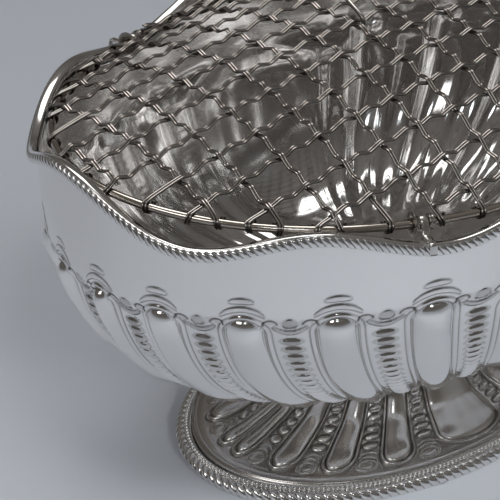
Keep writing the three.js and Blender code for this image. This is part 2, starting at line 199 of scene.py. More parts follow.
def tubes(name, paths, radius, sides=8):
    """One object of round wires with rounded ends, with painted shade on their sides and undersides, left
    light along the top.
    """
    points, faces, marks, start = [], [], [], 0
    turn = np.linspace(0, 2 * math.pi, sides, endpoint=False)
    for path in paths:
        path = np.asarray(path, dtype=float)
        ahead, across, other = frames_along(path)
        body = path[:, None] + radius * (np.cos(turn)[None, :, None] * across[:, None]
                                         + np.sin(turn)[None, :, None] * other[:, None])
        head = [path[0] - ahead[0] * far * radius + (body[0] - path[0]) * wide
                for far, wide in CAP_RINGS]
        tail = [path[-1] + ahead[-1] * far * radius + (body[-1] - path[-1]) * wide
                for far, wide in CAP_RINGS[::-1]]
        grid = np.concatenate([head, body, tail])
        quads = outward_faces(grid, grid_faces(len(grid), sides, False, True))
        faces.append(quads + start)
        points.append(grid.reshape(-1, 3))
        side = np.concatenate([body[:1], body[:1], body, body[-1:], body[-1:]])
        middle = np.concatenate([path[:1], path[:1], path, path[-1:], path[-1:]])
        # Painted shade: darker the lower a point lies round the wire, as if lit only from above.
        upper = (side[..., 2] - middle[:, None, 2]) / radius
        marks.append(smoothstep((0.9 - upper) / 0.75).reshape(-1))
        start += grid.shape[0] * sides
    return mesh_object(name, np.concatenate(points), np.concatenate(faces), np.concatenate(marks))


def rounded(points, rounds, closed):
    """Corner-cutting of an outline or an open path."""
    p = np.array(points, dtype=float)
    for _ in range(rounds):
        if closed:
            q = np.roll(p, -1, axis=0)
            p = np.stack([0.75 * p + 0.25 * q, 0.25 * p + 0.75 * q], axis=1).reshape(-1, p.shape[1])
        else:
            cut = np.stack([0.75 * p[:-1] + 0.25 * p[1:], 0.25 * p[:-1] + 0.75 * p[1:]], axis=1)
            p = np.concatenate([p[:1], cut.reshape(-1, p.shape[1]), p[-1:]])
    return p


def smoothstep(x):
    x = np.clip(x, 0, 1)
    return x * x * (3 - 2 * x)


# Ornament profiles

def ridge(x, low, high):
    """A rounded ridge from low to high, 1 at its middle."""
    return np.sin(math.pi * np.clip((x - low) / (high - low), 0, 1)) ** 0.9


def line(x, centre, width):
    """A thin line, 1 at its middle."""
    return np.exp(-((x - centre) / width) ** 2)


def dome(r2):
    """A half ball's height where r2 is the squared distance from its middle, in radii."""
    return np.sqrt(np.clip(1 - r2, 0, 1))


def crescent(distance, along, centre, half_thick, half_width):
    """Height and painted dark edge, both 0 to 1, of a raised arc that thins out to its two ends."""
    taper = np.sqrt(np.clip(1 - (along / half_width) ** 2, 0, 1))
    thick = half_thick * np.maximum(taper, 0.05)
    away = np.abs(distance - centre)
    edge = line(away, thick + 0.1, 0.27) * smoothstep(taper * 3)
    return taper ** 0.5 * dome((away / thick) ** 2), edge


def bosses(column, t, first, pitch, shrink, half_wide, fill):
    """A column of oval bosses that crowd together away from the first.

    Gives the distance from the nearest one's middle, 1 at its edge."""
    rate = shrink / pitch
    grown = -np.log(np.maximum(1 - rate * (t - first), 0.05)) / shrink
    centre = first + (1 - np.exp(-shrink * np.maximum(np.round(grown), 0))) / rate
    gap = pitch - shrink * (centre - first)
    return np.sqrt((column / half_wide) ** 2 + ((t - centre) / (fill * gap)) ** 2)


# Ovals

def oval(a, b, angle, z):
    z = np.broadcast_to(z, np.shape(angle))
    return np.stack([a * np.cos(angle), b * np.sin(angle), z], axis=-1)


def oval_out(a, b, angle):
    """The level direction square to the oval."""
    out = np.stack([np.cos(angle) / a, np.sin(angle) / b, np.zeros_like(angle)], axis=-1)
    return out / np.linalg.norm(out, axis=-1, keepdims=True)


def even_angles(a, b, height, samples, count):
    """Angles that part the line over an oval into count equal lengths; count may be a rule."""
    sampled = np.linspace(0, 2 * math.pi, samples)
    length = distance_along(oval(a, b, sampled, height(sampled)))
    count = count(length[-1]) if callable(count) else count
    return np.interp(np.linspace(0, length[-1], count, endpoint=False), length, sampled)


def rim_height(angle):
    return (RIM_HEIGHT + RIM_END_RISE * np.cos(2 * angle) + RIM_QUARTER_WAVE * np.cos(4 * angle)
            + RIM_SCALLOP * np.cos(8 * angle)
            + RIM_SCALLOP_LEAN * (np.cos(6 * angle) - np.cos(10 * angle)))


class Lobes:
    """Columns of a mesh round an oval: each one's angle and distances from its lobe's two edges.

    The distances are in a pitch's own units, which shrink with the oval, and the columns lie
    closer together at the edges of the raised border round each tongue."""

    def __init__(self, edges, pitch_degrees, pitch, strip, border, steps, joined_ends):
        bounds = edges + [180 - e for e in edges[::-1]]
        bounds = bounds + [180 + e for e in edges[1:]] + [360 - e for e in edges[::-1]]
        angle, low, high, low_strip, high_strip = [], [], [], [], []
        for start, end in zip(bounds, bounds[1:]):
            width = (end - start) * pitch / pitch_degrees
            strips = [0 if joined_ends and bound % 180 == 0 else strip for bound in (start, end)]
            middle = strips[0] + (width - sum(strips)) / 2
            left = self.places(strips[0], border, middle, steps)
            right = self.places(strips[1], border, width - middle, steps)
            place = np.concatenate([left, width - right[::-1]])
            place = place[np.append(True, np.diff(place) > 1e-6)][:-1]
            angle.append(start + place * pitch_degrees / pitch)
            low.append(place)
            high.append(width - place)
            low_strip.append(np.full_like(place, strips[0]))
            high_strip.append(np.full_like(place, strips[1]))
        self.angle = np.radians(np.concatenate(angle))
        self.low, self.high, self.low_strip, self.high_strip = (
            np.concatenate(parts)[None] for parts in (low, high, low_strip, high_strip))
        self.border = border

    @staticmethod
    def places(strip, border, middle, steps):
        """Places from a lobe's edge to its middle; steps are for strip, border and tongue."""
        marks = [0, border + 0.5, middle]
        if strip:
            marks = [0, strip - 0.5, strip + border + 0.5, middle]
        steps = steps if strip else steps[1:]
        parts = [np.linspace(a, b, max(2, math.ceil((b - a) / step)), endpoint=False)
                 for a, b, step in zip(marks, marks[1:], steps)]
        return np.concatenate(parts + [[middle]])

    def tongue(self, t, top, arch_share, arch_most):
        """Distance outside the tongue's edge, its place as a share of the way to the edge, and u."""
        half = (self.low + self.high - self.low_strip - self.high_strip) / 2 - self.border
        u = self.low - self.low_strip - self.border - half
        arch = np.minimum(arch_share * half, arch_most)
        above = np.maximum(top + arch - t, 0)
        reach = np.hypot(u, above)
        share = np.hypot(u / half, above / arch)
        edge = np.where(share > 0.02, reach - reach / np.maximum(share, 0.02), -half)
        return edge, share, u

    def column(self):
        """Distance from the middle of the strip beside this column, far where there is no strip."""
        near_low = self.low < self.high
        strip = np.where(near_low, self.low_strip, self.high_strip)
        return np.where(strip > 0, np.minimum(self.low, self.high), 99.0)


def grid_normals(points):
    down = np.gradient(points, axis=0)
    round_ = np.roll(points, -1, axis=1) - np.roll(points, 1, axis=1)
    normal = np.cross(down, round_)
    return normal / np.linalg.norm(normal, axis=-1, keepdims=True)


def blurred(h, times):
    for _ in range(times):
        h = (np.roll(h, 1, 1) + h + np.roll(h, -1, 1)) / 3
        padded = np.concatenate([h[:1], h, h[-1:]])
        h = (padded[:-2] + h + padded[2:]) / 3
    return h


# Bowl ornament, in millimetres across a lobe and down (t) from the balls' level
BODY_PITCH_DEGREES = 15
BODY_PITCH = 34
BODY_STRIP = 7.05
BODY_BORDER = 2.45
BODY_BORDER_RISE = 0.75
BODY_STEPS = (0.65, 0.36, 0.8)
TONGUE_TOP = -1.9
TONGUE_ARCH = 15
TONGUE_ARCH_SHARE = 1.15
TONGUE_BULGE = 2.8
TONGUE_TOP_SWELL = 0.8
TONGUE_SWELL_AT = 6
TONGUE_SWELL_REACH = 12.0
STRIP_SET_IN = 2.6
LEAN = math.radians(3.6)
LEAN_DROP = 52
TAIL = 16
# Crescents over a tongue: distance from its border, half thickness, half width
CRESCENTS = ((2.85, 1.25, 8.7), (6.6, 1.35, 4.8))
CRESCENT_RISE = 0.5
HOOK_ASIDE = 7.4
HOOK_BELOW = 0.9
HOOK_INSIDE, HOOK_OUTSIDE, HOOK_GROOVE = 0.9, 2.4, 2.65
HOOK_RISE = 0.35
BALL_RADIUS = 2.95
BALL_RISE = 0.95
CUP_ABOVE = 1.6
CUP_RADIUS = 7.35
CUP_HALF_THICK = 1.3
CUP_HALF_TURN = math.radians(62)
CUP_RISE = 0.85
PUNCH_DEPTH = 0.09
PUNCH_DARK = 0.36
BODY_BOSS_FIRST = 10.8
BODY_BOSS_PITCH = 4.6
BODY_BOSS_SHRINK = 0.022
BODY_BOSS_HALF_WIDTH = 4.1
BODY_BOSS_RISE = 1.35
BOSS_FILL = 0.4
# Rows down the band and the wall, and how the two are eased into each other
BAND_STEP = 0.45
BAND_TOP_DROP = 3.2
ORNAMENT_ABOVE_SHOULDER = 3.4
SHOULDER_EASE = 10
SHOULDER_EASE_TIMES = 120
INSIDE_BLUR = 16


def bowl_relief(lobes, t, fade, grain):
    """Raised height in mm and the share of painted shade, 0 to 1, on the bowl's outside."""
    edge, share, u = lobes.tongue(t, TONGUE_TOP, TONGUE_ARCH_SHARE, TONGUE_ARCH)
    column = lobes.column()
    swell = 1 + TONGUE_TOP_SWELL * np.exp(-((t - TONGUE_SWELL_AT) / TONGUE_SWELL_REACH) ** 2)
    h = TONGUE_BULGE * swell * dome(share ** 2) ** 1.5
    outer = BODY_BORDER + 0.1
    h += (BODY_BORDER_RISE * ridge(edge, 0.25, BODY_BORDER) - 0.25 * line(edge, 0.05, 0.3)
          - 0.2 * line(edge, outer, 0.3))
    # Painted shade along the edges of each tongue's border.
    painted_shade = 0.7 * line(edge, 0.05, 0.3) + 0.75 * line(edge, outer, 0.26)
    over = edge - BODY_BORDER
    above = smoothstep((3 - t) / 1.5)
    # Painted shade along the crescents' edges.
    for centre, half_thick, half_width in CRESCENTS:
        rise, dark = crescent(over, u, centre, half_thick, half_width)
        h += CRESCENT_RISE * rise * above
        painted_shade += 0.85 * dark * above
    # Hooks at the crescents' ends
    hook = np.hypot(column - HOOK_ASIDE, t - HOOK_BELOW)
    upper = smoothstep((1.6 - t) / 0.8)
    h += (HOOK_RISE * ridge(hook, HOOK_INSIDE, HOOK_OUTSIDE) - 0.3 * line(hook, HOOK_GROOVE, 0.35)) * upper
    # Painted shade in the hooks' grooves.
    painted_shade += 1.1 * line(hook, HOOK_GROOVE, 0.42) * upper
    # Ball and the crescent that holds it, both with a punched ground
    ball = np.hypot(column, t) / BALL_RADIUS
    h += BALL_RISE * dome(ball ** 2)
    # A faint painted shade round the ball's edge.
    painted_shade += 0.12 * line(ball, 1.0, 0.15)
    cup = np.hypot(column, t + CUP_ABOVE)
    turn = np.arctan2(column, t + CUP_ABOVE)
    rise, dark = crescent(cup, turn, CUP_RADIUS, CUP_HALF_THICK, CUP_HALF_TURN)
    h += CUP_RISE * rise
    # Painted shade along the cup's edges.
    painted_shade += 0.75 * dark
    punched = smoothstep((1.02 - ball) / 0.1) + smoothstep(rise / 0.3)
    h += PUNCH_DEPTH * grain * punched
    # Bosses down the strip
    reach = bosses(column, t, BODY_BOSS_FIRST, BODY_BOSS_PITCH, BODY_BOSS_SHRINK,
                   BODY_BOSS_HALF_WIDTH, BOSS_FILL)
    on = smoothstep((t - 7.6) / 0.6)
    h += (BODY_BOSS_RISE * dome(reach ** 2) - 0.12 * line(reach, 1.1, 0.15)) * on
    # Painted shade round each boss, and a painted dark reflection on its top that thins out down the
    # strip.
    painted_shade += 0.4 * line(reach, 1.08, 0.15) * on
    painted_shade += 0.5 * smoothstep((1 - reach) / 0.3) * on * np.clip(1 - (t - 10) / 24, 0, 1)
    set_in = STRIP_SET_IN * smoothstep((t + 4) / 11)
    # Painted shade also darkens the punched ground, standing for the shade in its fine punch marks.
    return (h - set_in) * fade, np.clip(painted_shade + PUNCH_DARK * punched, 0, 1) * fade


def bowl_surface(angle, turn):
    """The wall without ornament: turn runs from 0 at the shoulder to a quarter at the bottom."""
    bottom, shoulder = BOTTOM_INSET / RIM_A, SHOULDER_INSET / RIM_A
    share = bottom - (bottom - shoulder) * np.clip(np.cos(turn), 0, 1) ** CURVE_IN
    z = SHOULDER_HEIGHT - (SHOULDER_HEIGHT - BOTTOM_HEIGHT) * np.sin(turn) ** CURVE_DOWN
    return oval(RIM_A * (1 - share), RIM_B * (1 - share), angle, z)


def bowl_rows():
    """The turn and the place down the wall of each row below the shoulder, close together at the top."""
    turn = np.linspace(0, math.pi / 2, 4000)
    length = distance_along(bowl_surface(np.full_like(turn, math.radians(45)), turn))
    near, far = BALL_DROP + 8, BALL_DROP + 80
    places = np.concatenate([np.arange(0, near, BAND_STEP), np.arange(near, far, 0.5),
                             np.arange(far, length[-1], 0.9)])
    places = np.append(places, length[-1])
    return np.interp(places, length, turn), places


def make_bowl():
    lobes = Lobes(BODY_EDGES, BODY_PITCH_DEGREES, BODY_PITCH, BODY_STRIP, BODY_BORDER, BODY_STEPS, False)
    angle = lobes.angle
    turns, down = bowl_rows()
    top = rim_height(angle) - BAND_TOP_DROP
    ornament_top = SHOULDER_HEIGHT + ORNAMENT_ABOVE_SHOULDER
    rows, lengths = [], []
    for share in np.linspace(1, 0, 9):
        rows.append(ornament_top + (top - ornament_top) * share)
    for z in np.arange(ornament_top - BAND_STEP, SHOULDER_HEIGHT, -BAND_STEP):
        rows.append(np.full_like(angle, z))
    band = []
    for z in rows:
        scale = 1 - SHOULDER_INSET * (1 - (z - SHOULDER_HEIGHT) / (top - SHOULDER_HEIGHT)) / RIM_A
        band.append(oval(RIM_A * scale, RIM_B * scale, angle, z))
        lengths.append(SHOULDER_HEIGHT - z)
    wall = []
    for turn, length in zip(turns, down):
        drop = SHOULDER_HEIGHT - (SHOULDER_HEIGHT - BOTTOM_HEIGHT) * math.sin(turn) ** CURVE_DOWN
        below = max(BALL_HEIGHT - drop, 0) / LEAN_DROP
        leaning = angle + LEAN * np.sin(2 * angle) * below ** 2
        wall.append(bowl_surface(leaning, np.full_like(angle, turn)))
        lengths.append(np.full_like(angle, length))
    base = np.array(band + wall)
    t = np.array(lengths) - BALL_DROP
    # The band runs into the wall without a crease.
    near = np.flatnonzero(np.abs(t[:, 0] + BALL_DROP) < SHOULDER_EASE)[1:]
    for _ in range(SHOULDER_EASE_TIMES):
        base[near, :, :2] = (base[near - 1, :, :2] + 2 * base[near, :, :2] + base[near + 1, :, :2]) / 4
    normal = grid_normals(base)
    if normal[5, 0, 0] < 0:
        normal = -normal
    fade = smoothstep((t[-1, 0] - t) / TAIL)
    grain = np.random.default_rng(4).uniform(-1, 1, t.shape)
    h, painted_shade = bowl_relief(lobes, t, fade, grain)
    outer = base + normal * h[..., None]
    inner = (base + normal * (blurred(h, INSIDE_BLUR) - WALL)[..., None])[::2]
    middle_out, middle_in = outer[-1].mean(axis=0), inner[-1].mean(axis=0)
    floor_out = np.array([middle_out + (outer[-1] - middle_out) * k for k in (0.6, 0.25, 0.01)])
    floor_in = np.array([middle_in + (inner[-1] - middle_in) * k for k in (0.01, 0.25, 0.6)])
    zero = np.zeros((3, len(angle)))
    # Painted shade: the inside is darkened all over, and more under the outside's lines; the floor caps
    # get none.
    painted_shade_and_dullness = np.concatenate([zero, 0.12 + 0.25 * blurred(painted_shade, 4)[::2][::-1], painted_shade, zero])
    return skin("bowl", np.concatenate([floor_in, inner[::-1], outer, floor_out]), False, painted_shade_and_dullness)


# Borders: a section swept round an oval, with slanted ribs on part of it. A section's
# rows are out, up and share of the rib depth.
RIB_STEPS = 8
RIM_RIBS = 330
RIM_SECTION = [
    [-1.5, -3.2, 0], [-1.9, -2.3, 0], [-2.0, -1.5, 0], [-1.6, -0.8, 0], [-0.7, -0.28, 0], [0.5, -0.02, 0],
    [1.4, 0.03, 0], [2.0, -0.2, 0], [2.2, -0.7, 0], [2.6, -0.75, 0.9], [3.1, -1.5, 1], [3.3, -2.6, 1],
    [3.2, -3.7, 1], [2.85, -4.6, 1], [2.1, -5.2, 0.6], [0.5, -5.2, 0], [0.3, -4.0, 0], [0.3, -3.2, 0],
]
FOOT_RIBS = 146
FOOT_SECTION = [
    [-7.0, 0, 0], [-7.0, 4.4, 0], [-6.7, 5.3, 0], [-5.6, 5.5, 0], [-4.3, 5.4, 0], [-3.6, 5.2, 0],
    [-3.0, 5.5, 0.5], [-1.8, 5.3, 1], [-0.6, 4.2, 1], [0, 2.7, 1], [-0.05, 1.3, 0.8],
    [-0.6, 0.1, 0], [-2.5, 0, 0],
]
BEAD_INSET = 4.9
BEAD_HEIGHT = 5.85
BEAD_RADIUS = 1.12
BEAD_PITCH = 1.95
BEAD_STEPS = 8
BEAD_SIDES = 10
BEAD_NECK = 0.3


def gadroon_border(name, a, b, height, section, ribs, depth, slant, face, groove, crowned):
    """A ribbed moulding. slant is in ribs from the face's top to its foot, groove is the half
    width of a groove there in ribs, and crowned is how much of the rib depth is in its rounding.
    The rest of the depth is in its grooves."""
    count = ribs * RIB_STEPS
    angle = even_angles(a, b, height, 6000, count)
    phase = np.arange(count) / RIB_STEPS
    out = oval_out(a, b, angle)
    centre = oval(a, b, angle, height(angle))
    section = rounded(section, 1, True)
    middle = section[:, :2].mean(axis=0)
    sections, marks = [], []
    for o, up, share in section:
        fall = np.clip((face[0] - up) / (face[0] - face[1]), 0, 1)
        place = (phase - slant * fall) % 1
        away = np.minimum(place, 1 - place)
        cut = smoothstep(1 - away / (groove[0] + (groove[1] - groove[0]) * fall))
        crown = 1 - np.sin(math.pi * place) ** 0.8
        side = np.array([o, up]) - middle
        side = side / max(np.linalg.norm(side), 1e-6)
        shift = -depth * share * ((1 - crowned) * cut + crowned * crown)
        sections.append(centre + out * (o + side[0] * shift)[:, None]
                        + UP * (up + side[1] * shift)[:, None])
        # Painted shade in the grooves between the ribs.
        marks.append(np.clip(share, 0, 1) * cut)
    return swept(name, np.stack(sections, axis=1), np.stack(marks, axis=1))


def bead_row(name):
    """A string of touching beads on the foot's border."""
    a, b = FOOT_A - BEAD_INSET, FOOT_B - BEAD_INSET
    angle = even_angles(a, b, lambda _: BEAD_HEIGHT, 4000,
                        lambda length: round(length / BEAD_PITCH) * BEAD_STEPS)
    place = (np.arange(len(angle)) / BEAD_STEPS) % 1
    radius = BEAD_RADIUS * np.maximum(dome((2 * place - 1) ** 2), BEAD_NECK)
    turn = np.linspace(0, 2 * math.pi, BEAD_SIDES, endpoint=False)
    ring = np.cos(turn)[None, :, None] * oval_out(a, b, angle)[:, None] + np.sin(turn)[None, :, None] * UP
    grid = oval(a, b, angle, BEAD_HEIGHT)[:, None] + radius[:, None, None] * ring
    # Painted shade at the necks between the beads.
    dark = np.repeat((1 - dome((2 * place - 1) ** 2))[:, None] ** 4, len(turn), axis=1)
    return swept(name, grid, dark)


# Foot ornament, in millimetres across a lobe and in (t) from the outer edge
FOOT_PITCH_DEGREES = 20
FOOT_PITCH = 28
FOOT_STRIP = 5.2
FOOT_BORDER = 2.1
FOOT_BORDER_RISE = 1.25
FOOT_STEPS = (0.5, 0.33, 0.6)
FOOT_TIP = 8.2
FOOT_ARCH = 9
FOOT_BULGE = 1.9
FOOT_STRIP_SET_IN = 0.7
CARTOUCHE_AT = 9.4
CARTOUCHE_HALF_WIDTH = 4.4
CARTOUCHE_HALF_LENGTH = 3.0
# Arcs over a cartouche: distance from its middle, half width
CARTOUCHE_ARCS = ((4.9, 4.4), (6.9, 4.6))
ARC_HALF_THICK = 0.7
FOOT_BOSS_FIRST = 19.4
FOOT_BOSS_PITCH = 4.4
FOOT_BOSS_SHRINK = 0.035
FOOT_BOSS_HALF_WIDTH = 3.7
FOOT_BOSS_RISE = 0.7
FOOT_PLAIN_FROM = 54
FOOT_FADE = 12


def foot_relief(lobes, t):
    """Raised height in mm and the share of painted shade, 0 to 1, on the foot's outside."""
    edge, share, _ = lobes.tongue(t, FOOT_TIP, 1, FOOT_ARCH)
    column = lobes.column()
    outer = FOOT_BORDER + 0.1
    h = FOOT_BULGE * dome(share ** 2)
    h += (FOOT_BORDER_RISE * ridge(edge, 0.1, FOOT_BORDER) - 0.4 * line(edge, 0, 0.35)
          - 0.3 * line(edge, outer, 0.3))
    # Painted shade along both edges of each tongue's border.
    painted_shade = 0.9 * line(edge, 0.0, 0.45) + 0.9 * line(edge, outer, 0.36)
    # Raised ring beside the border
    h += 0.6 * ridge(t, 1.2, 2.7)
    # Painted shade beside the raised ring.
    painted_shade += 0.45 * line(t, 2.9, 0.25) + 0.45 * line(t, 1.0, 0.25)
    # Oval cartouche with two arcs over it
    ring = np.hypot(column / CARTOUCHE_HALF_WIDTH, (t - CARTOUCHE_AT) / CARTOUCHE_HALF_LENGTH)
    h += 0.6 * ridge(ring, 0.72, 1.08) + 0.45 * dome((ring / 0.7) ** 2)
    # Painted shade along the cartouche's lines.
    painted_shade += 0.5 * line(ring, 0.72, 0.07) + 0.5 * line(ring, 1.12, 0.06)
    arc = np.hypot(column, t - CARTOUCHE_AT)
    inward = smoothstep((t - 10.5) / 1.5)
    # Painted shade along the arcs' edges.
    for centre, half_width in CARTOUCHE_ARCS:
        rise, dark = crescent(arc, column, centre, ARC_HALF_THICK, half_width)
        h += 0.45 * rise * inward
        painted_shade += 0.5 * dark * inward
    reach = bosses(column, t, FOOT_BOSS_FIRST, FOOT_BOSS_PITCH, FOOT_BOSS_SHRINK,
                   FOOT_BOSS_HALF_WIDTH, BOSS_FILL)
    on = smoothstep((t - 17) / 0.5)
    h += FOOT_BOSS_RISE * dome(reach ** 2) ** 0.8 * on
    # Painted shade round each boss.
    painted_shade += 1.0 * line(reach, 1.12, 0.17) * on
    h -= FOOT_STRIP_SET_IN * smoothstep((t - 4) / 3)
    return h, np.clip(painted_shade, 0, 1)


def eased(v):
    """A run of values averaged over nine neighbours, with its ends kept at 0 and 1."""
    ends = np.concatenate([2 * v[0] - v[4:0:-1], v, 2 * v[-1] - v[-2:-6:-1]])
    v = np.convolve(ends, np.ones(9) / 9, "valid")
    v[0], v[-1] = 0, 1
    return v


def make_foot():
    lobes = Lobes(FOOT_EDGES, FOOT_PITCH_DEGREES, FOOT_PITCH, FOOT_STRIP, FOOT_BORDER, FOOT_STEPS, True)
    angle = lobes.angle
    profile = np.array(FOOT_PROFILE, dtype=float)
    fine = np.linspace(0, 1, 120)
    even = np.linspace(0, 1, len(profile))
    inward, upward = (np.interp(fine, even, profile[:, k]) for k in (0, 1))
    inset = FOOT_EDGE_INSET + (FOOT_NECK_INSET - FOOT_EDGE_INSET) * eased(inward)
    rise = FOOT_EDGE_HEIGHT + (BOTTOM_HEIGHT - GAP - FOOT_EDGE_HEIGHT) * eased(upward)
    length = distance_along(np.stack([0.8 * inset, rise], axis=1))
    places = np.concatenate([np.arange(0, 24, 0.4), np.arange(24, length[-1], 0.6), [length[-1]]])
    inset, rise = np.interp(places, length, inset), np.interp(places, length, rise)
    base = np.stack([oval(FOOT_A * s, FOOT_B * s, angle, z) for s, z in zip(1 - inset / FOOT_A, rise)])
    normal = grid_normals(base)
    if normal[len(base) // 2, 0, 2] < 0:
        normal = -normal
    t = np.broadcast_to(places[:, None], base.shape[:2])
    h, painted_shade = foot_relief(lobes, t)
    fade = smoothstep((FOOT_PLAIN_FROM - t) / FOOT_FADE)
    h, painted_shade = h * fade, painted_shade * fade
    outer = base + normal * h[..., None]
    inner = base + normal * (blurred(h, 2) - FOOT_WALL - 0.3)[..., None]
    inner[..., 2] = np.maximum(inner[..., 2], 0.5)
    middle = np.array([0, 0, rise[-1]])
    cap_out = np.array([middle + (outer[-1] - middle) * k for k in (0.5, 0.01)])
    cap_in = np.array([middle + (inner[-1] - middle) * k - np.array([0, 0, FOOT_WALL * (1 - k)])
                       for k in (0.01, 0.5)])
    inner = inner[::2]
    plain_in, plain_out = np.zeros((2 + len(inner), len(angle))), np.zeros((2, len(angle)))
    painted_shade_and_dullness = np.concatenate([plain_in, painted_shade, plain_out])
    return skin("foot", np.concatenate([cap_in, inner[::-1], outer, cap_out]), False, painted_shade_and_dullness)


# Grille
RING_A, RING_B = RIM_A - RING_INSET, RIM_B - RING_INSET
CROSS_PITCH = 2 * RING_A / (CROSS_WIRES - 0.5)
LONG_PITCH = 2 * RING_B / (LONG_WIRES + 0.5)
STRAND = 0.49
PAIR_HALF = PAIR_WIDTH / 2 - STRAND
STRAND_STEPS = 24
CRIMP_ROUND, CRIMP_SHARP = 0.35, 0.65
# A wire's end turns round the ring between these angles, and shifts along it as it goes.
WRAP_TURNS = np.radians(np.linspace(78, -215, 22))
WRAP_SHIFT = 2.3
# Where a wire meets the ring almost along it, it ends this far past its last crossing.
SHORT_END = 1.5
LEAST_ACROSS = 0.36


def ring_height(angle):
    return RING_HEIGHT + RING_LIFT * np.cos(2 * np.asarray(angle))


def net_height(x, y):
    """Height of the domed mesh, which stands a little higher over the ring than inside it."""
    u, v = x / RING_A, y / RING_B
    square = u * u + v * v
    reach = np.sqrt(np.maximum(square, 1e-9))
    inside = (1 - reach) / np.maximum(np.hypot(u / RING_A, v / RING_B), 1e-9) * reach
    lift = NET_ABOVE_RING * (1 - 0.6 * smoothstep(inside / NET_LIFT_BAND))
    return RING_HEIGHT + RING_LIFT * (u * u - v * v) + lift + NET_RISE * (1 - square)


def crimp(phase):
    """Height of a crimped wire, 1 at even crossings and -1 at odd ones, with a spare crimp between."""
    beat = np.abs((3 * phase % 2) - 1)
    return CRIMP_ROUND * np.cos(3 * math.pi * phase) + CRIMP_SHARP * (2 * beat - 1)


def ring_frame(angle):
    """The ring's middle line at an angle, and the direction out from it."""
    centre = oval(RING_A, RING_B, np.array(angle), ring_height(angle))
    out = oval_out(RING_A, RING_B, np.array(float(angle)))
    return centre, out


def strand_pair(along_x, place, index, places, parity):
    """Centre line and across direction of one crimped pair, with both ends wrapped on the ring."""
    half, run = (RING_B, RING_A) if along_x else (RING_A, RING_B)
    pitch = places[1] - places[0]
    end = run * math.sqrt(1 - (place / half) ** 2)
    keep = [k for k, s in enumerate(places) if abs(s) < end - 0.05 * pitch]
    first, last = places[keep[0]], places[keep[-1]]
    x_axis, y_axis = np.array([1.0, 0, 0]), np.array([0, 1.0, 0])
    along, side = (x_axis, y_axis) if along_x else (y_axis, x_axis)

    def point(s, lift):
        x, y = (s, place) if along_x else (place, s)
        return np.array([x, y, net_height(x, y) + lift])

    steps = STRAND_STEPS * (len(keep) - 1)
    s = np.linspace(first, last, steps + 1) if steps else np.array([first])
    phase = keep[0] + parity + (s - first) / pitch
    path = [point(v, WEAVE * c) for v, c in zip(s, crimp(phase))]
    across = [side] * len(path)

    def wrap(sign):
        if along_x:
            angle = math.atan2(place / half, sign * end / run)
        else:
            angle = math.atan2(sign * end / run, place / half)
        centre, out = ring_frame(angle)
        if abs(out.dot(along)) < LEAST_ACROSS:
            over = crimp(np.array(phase[-1 if sign > 0 else 0]))
            v = (last if sign > 0 else first) + sign * SHORT_END
            return [point(v, WEAVE * over)], [side]
        tangent = np.array([-out[1], out[0], 0])
        if tangent.dot(side) < 0:
            tangent = -tangent
        radius = RING_WIRE + STRAND + 0.1
        hook, spread = [], []
        for k, turn in enumerate(WRAP_TURNS):
            shift = WRAP_SHIFT * k / (len(WRAP_TURNS) - 1) * (1 if index % 2 else -1)
            hook.append(centre + out * radius * math.cos(turn) + np.array([0, 0, radius * math.sin(turn)])
                        + tangent * shift)
            spread.append(tangent)
        return hook, spread

    tail, tail_across = wrap(1)
    head, head_across = wrap(-1)
    return np.array(head[::-1] + path + tail), np.array(head_across[::-1] + across + tail_across)


def woven_wire(node, along_x, place, index, places, parity):
    path, across = strand_pair(along_x, place, index, places, parity)
    across = across / np.linalg.norm(across, axis=1, keepdims=True)
    inner = path[1:-1] * 0.6 + (path[:-2] + path[2:]) * 0.2
    path = np.concatenate([path[:1], inner, path[-1:]])
    wire = tubes(node + "_pair", [path + across * PAIR_HALF, path - across * PAIR_HALF], STRAND, 8)
    dress(wire, WIRE_SILVER, "grille", "wire_silver", node)


# Clips and collars on the ring
SLEEVE = (RING_WIRE + 1.3 * GAP) / math.cos(math.pi / 10)
RIM_OUT = 3.3
STRAP_HALF_THICK = 0.42
STRAP_HALF_WIDTH = 1.55
STRAP_NARROWING = 0.12
LOOP_TURNS = np.radians(np.linspace(-40, -322, 18))
SQUARE = [(-1, -1), (1, -1), (1, 1), (-1, 1)]
FLARE_RADIUS = 4.5
COLLAR_SIDES = 28


